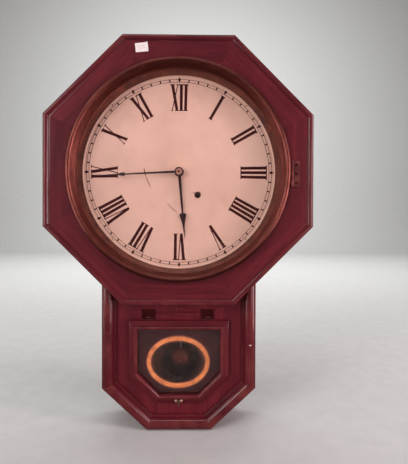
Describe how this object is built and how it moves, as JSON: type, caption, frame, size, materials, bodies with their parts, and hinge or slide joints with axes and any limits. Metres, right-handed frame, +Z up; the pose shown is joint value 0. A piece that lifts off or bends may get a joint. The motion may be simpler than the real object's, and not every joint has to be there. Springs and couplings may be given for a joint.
{
  "type": "pendulum wall clock",
  "caption": "Short-drop octagon wall clock with a round white dial behind a hinged brass bezel, a lift-up lower door over the pendulum, and a working wheel train.",
  "frame": {"origin": "centre of the wall hanger's hole, in the wall plane", "axes": "+Z up, +X to the viewer's right, the dial faces -Y, the wall is the plane y = 0"},
  "size_m": [0.419, 0.107, 0.6225],
  "materials": {
    "case_veneer": "gloss varnish",
    "case_pine": "unfinished",
    "dial_enamel": "satin",
    "bezel_brass": "aged",
    "brass": "satin",
    "steel": "satin",
    "hand_black": "gloss",
    "dial_glass": "clear",
    "tablet_glass": "reverse painted",
    "paper": "matte"
  },
  "bodies": {
    "case": {"backboard": "case_pine", "case_side_left": "case_veneer", "case_side_right": "case_veneer", "case_top": "case_veneer", "case_bottom": "case_veneer", "case_diagonal_left": "case_veneer", "case_diagonal_right": "case_veneer", "octagon_frame": "case_veneer", "drop_moulding": "case_veneer", "drop_panel": "case_veneer", "seat_rails": "case_pine", "hanger_plate": "brass", "case_screws": "brass", "dial_pan": "dial_enamel", "bezel_hinge_leaf": "brass", "door_hinge_leaves": "brass", "hinge_pins": "steel", "paper_sticker": "paper", "front_plate": "brass", "back_plate": "brass", "plate_pillars": "steel", "pillar_nuts": "brass", "movement_screws": "steel", "suspension_cock": "brass", "mainspring": "steel", "minute_stud": "steel"},
    "centre": {"centre_arbor": "steel", "centre_wheel": "brass", "cannon_pinion": "brass", "minute_hand": "hand_black", "hand_washer": "brass"},
    "hour": {"hour_wheel": "brass", "hour_hand": "hand_black"},
    "minute_wheel": {"minute_wheel": "brass"},
    "third": {"third_arbor": "steel", "third_wheel": "brass"},
    "escape": {"escape_arbor": "steel", "escape_wheel": "brass"},
    "second": {"second_arbor": "steel", "second_wheel": "brass"},
    "main": {"main_wheel": "brass", "click_spring": "steel"},
    "click": {"click": "steel"},
    "winding": {"winding_arbor": "steel", "ratchet_wheel": "steel"},
    "verge": {"verge": "steel", "verge_arbor": "steel", "crutch": "steel"},
    "pendulum": {"suspension_spring": "steel", "pendulum_rod": "steel"},
    "bob": {"pendulum_bob": "brass"},
    "nut": {"rating_nut": "brass"},
    "bezel": {"bezel_ring": "bezel_brass", "bezel_glass": "dial_glass", "bezel_hinge_flap": "brass"},
    "door": {"door_frame": "case_veneer", "door_glass": "tablet_glass", "door_hinge_flaps": "brass", "latch_plate": "bezel_brass"},
    "latch": {"door_latch": "bezel_brass"}
  },
  "joints": [
    {"name": "hands_turn", "type": "hinge", "parent": "case", "child": "centre", "pos_m": [0, -0.065, -0.18], "axis": [0, 1, 0], "continuous": true},
    {"name": "hour_turn", "type": "hinge", "parent": "case", "child": "hour", "pos_m": [0, -0.075, -0.18], "axis": [0, 1, 0], "continuous": true},
    {"name": "minute_wheel_turn", "type": "hinge", "parent": "case", "child": "minute_wheel", "pos_m": [-0.01409, -0.07, -0.18513], "axis": [0, 1, 0], "continuous": true},
    {"name": "third_turn", "type": "hinge", "parent": "case", "child": "third", "pos_m": [-0.01714, -0.048, -0.15876], "axis": [0, 1, 0], "continuous": true},
    {"name": "escape_turn", "type": "hinge", "parent": "case", "child": "escape", "pos_m": [0, -0.048, -0.15], "axis": [0, 1, 0], "continuous": true},
    {"name": "second_turn", "type": "hinge", "parent": "case", "child": "second", "pos_m": [-0.00723, -0.048, -0.20705], "axis": [0, 1, 0], "continuous": true},
    {"name": "main_turn", "type": "hinge", "parent": "case", "child": "main", "pos_m": [0.0295, -0.043, -0.216], "axis": [0, 1, 0], "continuous": true},
    {"name": "winding_turn", "type": "hinge", "parent": "main", "child": "winding", "pos_m": [0.0295, -0.048, -0.216], "axis": [0, 1, 0], "continuous": true},
    {"name": "click_lift", "type": "hinge", "parent": "main", "child": "click", "pos_m": [0.04407, -0.04, -0.2213], "axis": [0, 1, 0], "range_deg": [0, 12]},
    {"name": "verge_rock", "type": "hinge", "parent": "case", "child": "verge", "pos_m": [0, -0.048, -0.1325], "axis": [0, 1, 0], "range_deg": [-4, 4]},
    {"name": "pendulum_swing", "type": "hinge", "parent": "case", "child": "pendulum", "pos_m": [0, -0.019, -0.1325], "axis": [0, 1, 0], "range_deg": [-4, 4]},
    {"name": "bob_rate", "type": "slide", "parent": "pendulum", "child": "bob", "axis": [0, 0, 1], "range_m": [-0.0015, 0.0015]},
    {"name": "rating_turn", "type": "hinge", "parent": "bob", "child": "nut", "pos_m": [0, -0.019, -0.535], "axis": [0, 0, 1], "range_deg": [-1090, 1090]},
    {"name": "bezel_swing", "type": "hinge", "parent": "case", "child": "bezel", "pos_m": [0.1753, -0.1017, -0.185], "axis": [0, 0, 1], "range_deg": [0, 110]},
    {"name": "door_lift", "type": "hinge", "parent": "case", "child": "door", "pos_m": [0, -0.076, -0.413], "axis": [-1, 0, 0], "range_deg": [0, 100]},
    {"name": "latch_turn", "type": "hinge", "parent": "door", "child": "latch", "pos_m": [0, -0.075, -0.546], "axis": [0, 1, 0], "range_deg": [0, 90]}
  ],
  "couplings": [
    {"joint": "hour_turn", "follows": "hands_turn", "ratio": 0.083333},
    {"joint": "minute_wheel_turn", "follows": "hands_turn", "ratio": -0.33333},
    {"joint": "third_turn", "follows": "hands_turn", "ratio": -12},
    {"joint": "escape_turn", "follows": "hands_turn", "ratio": 120},
    {"joint": "second_turn", "follows": "hands_turn", "ratio": -0.11111},
    {"joint": "main_turn", "follows": "hands_turn", "ratio": 0.018519},
    {"joint": "verge_rock", "follows": "pendulum_swing", "ratio": 1},
    {"joint": "rating_turn", "follows": "bob_rate", "rad_per_m": 12566}
  ]
}
